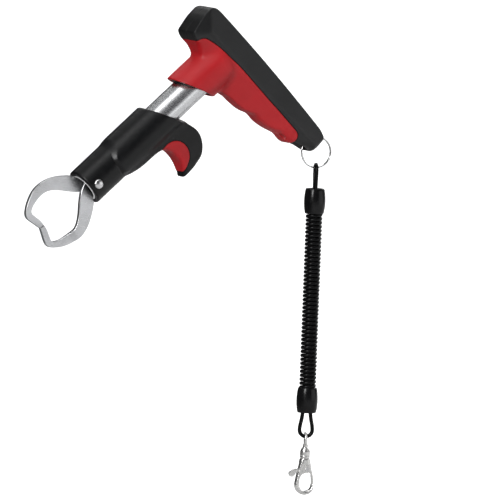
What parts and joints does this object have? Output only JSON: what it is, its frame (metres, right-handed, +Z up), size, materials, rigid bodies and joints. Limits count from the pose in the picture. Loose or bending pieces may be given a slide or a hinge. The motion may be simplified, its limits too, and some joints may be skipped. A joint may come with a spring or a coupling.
{
  "type": "lip grip",
  "caption": "Hand-held lip grip for fish: curved steel jaws on a round tube, sliding finger trigger, angled pistol handle, coiled lanyard with a swivel clasp.",
  "frame": {"origin": "where the axis of the steel tube crosses the middle of the handle, the point where it is held", "axes": "+Z up with the lanyard hanging along -Z, +X from the jaws' side towards the handle's heel in the tool plane, Y across the tool's thickness with -Y the side away from the screws"},
  "size_m": [0.2219, 0.029, 0.3189],
  "materials": {
    "shell_black": "satin black moulded plastic",
    "grip_red": "soft red overmould",
    "bush_black": "matt",
    "rod_steel": "machined",
    "pin_steel": "ground",
    "screw_steel": "black oxide",
    "tube_steel": "polished stainless steel",
    "spring_steel": "drawn wire",
    "bush_brass": "turned",
    "jaw_steel": "tumbled stainless steel",
    "ring_steel": "nickel plated",
    "cord_black": "glossy elastic cord",
    "ferrule_black": "satin",
    "clasp_nickel": "nickel plated casting"
  },
  "bodies": {
    "handle": {"handle_shell_near": "shell_black", "handle_shell_far": "shell_black", "grip_near": "grip_red", "grip_far": "grip_red", "collar_bush": "bush_black", "core_rod": "rod_steel", "rod_anchor_pin": "pin_steel", "spring_seat": "rod_steel", "jaw_pivot_pin": "pin_steel", "handle_screws": "screw_steel"},
    "sleeve": {"trigger_sleeve": "shell_black", "trigger_pad": "grip_red", "guide_tube": "tube_steel", "cross_rivet": "pin_steel", "tube_bush": "bush_brass", "return_spring": "spring_steel"},
    "upper_jaw": {"jaw_upper": "jaw_steel"},
    "lower_jaw": {"jaw_lower": "jaw_steel"},
    "ring": {"split_ring": "ring_steel"},
    "lanyard_top": {"loop_upper": "cord_black", "ferrule_upper": "ferrule_black", "coil_cord": "cord_black"},
    "lanyard_end": {"ferrule_lower": "ferrule_black", "loop_lower": "cord_black"},
    "swivel": {"swivel_eye": "clasp_nickel"},
    "clasp": {"clasp_body": "clasp_nickel", "gate_pin": "pin_steel", "gate_spring": "spring_steel"},
    "gate": {"gate_lever": "clasp_nickel"}
  },
  "joints": [
    {"name": "trigger_slide", "type": "slide", "parent": "handle", "child": "sleeve", "axis": [0.788, 0, 0.6157], "range_m": [0, 0.011], "stiffness_N_per_m": 900, "springref_m": -0.008, "deforming": ["return_spring"]},
    {"name": "jaw_upper_open", "type": "hinge", "parent": "handle", "child": "upper_jaw", "pos_m": [-0.08432, 0, -0.06588], "axis": [0, 1, 0], "range_deg": [0, 14]},
    {"name": "jaw_lower_open", "type": "hinge", "parent": "handle", "child": "lower_jaw", "pos_m": [-0.08432, 0, -0.06588], "axis": [0, -1, 0], "range_deg": [0, 14]},
    {"name": "ring_swing", "type": "hinge", "parent": "handle", "child": "ring", "pos_m": [0.06383, 0, -0.05749], "axis": [0.9135, 0, 0.4067], "range_deg": [-45, 45]},
    {"name": "lanyard_swing", "type": "hinge", "parent": "ring", "child": "lanyard_top", "pos_m": [0.0672, 0, -0.0775], "axis": [0.9848, -0.1736, 0], "range_deg": [-40, 40]},
    {"name": "coil_stretch", "type": "slide", "parent": "lanyard_top", "child": "lanyard_end", "axis": [-0.0436, 0, -0.999], "range_m": [0, 0.35], "stiffness_N_per_m": 25, "springref_m": -0.01, "deforming": ["coil_cord"]},
    {"name": "clasp_tilt", "type": "hinge", "parent": "lanyard_end", "child": "swivel", "pos_m": [0.05967, 0, -0.25008], "axis": [0.9127, -0.4067, -0.0398], "range_deg": [-60, 60]},
    {"name": "swivel_spin", "type": "hinge", "parent": "swivel", "child": "clasp", "pos_m": [0.05911, 0, -0.26297], "axis": [0.0436, 0, 0.999], "continuous": true},
    {"name": "gate_open", "type": "hinge", "parent": "clasp", "child": "gate", "pos_m": [0.06008, -0.00027, -0.26982], "axis": [0.2077, 0.9781, -0.0091], "range_deg": [0, 25], "stiffness_Nm_per_rad": 0.02, "springref_deg": -11.46}
  ],
  "couplings": [
    {"joint": "jaw_upper_open", "follows": "trigger_slide", "rad_per_m": 22.213},
    {"joint": "jaw_lower_open", "follows": "trigger_slide", "rad_per_m": 22.213}
  ]
}
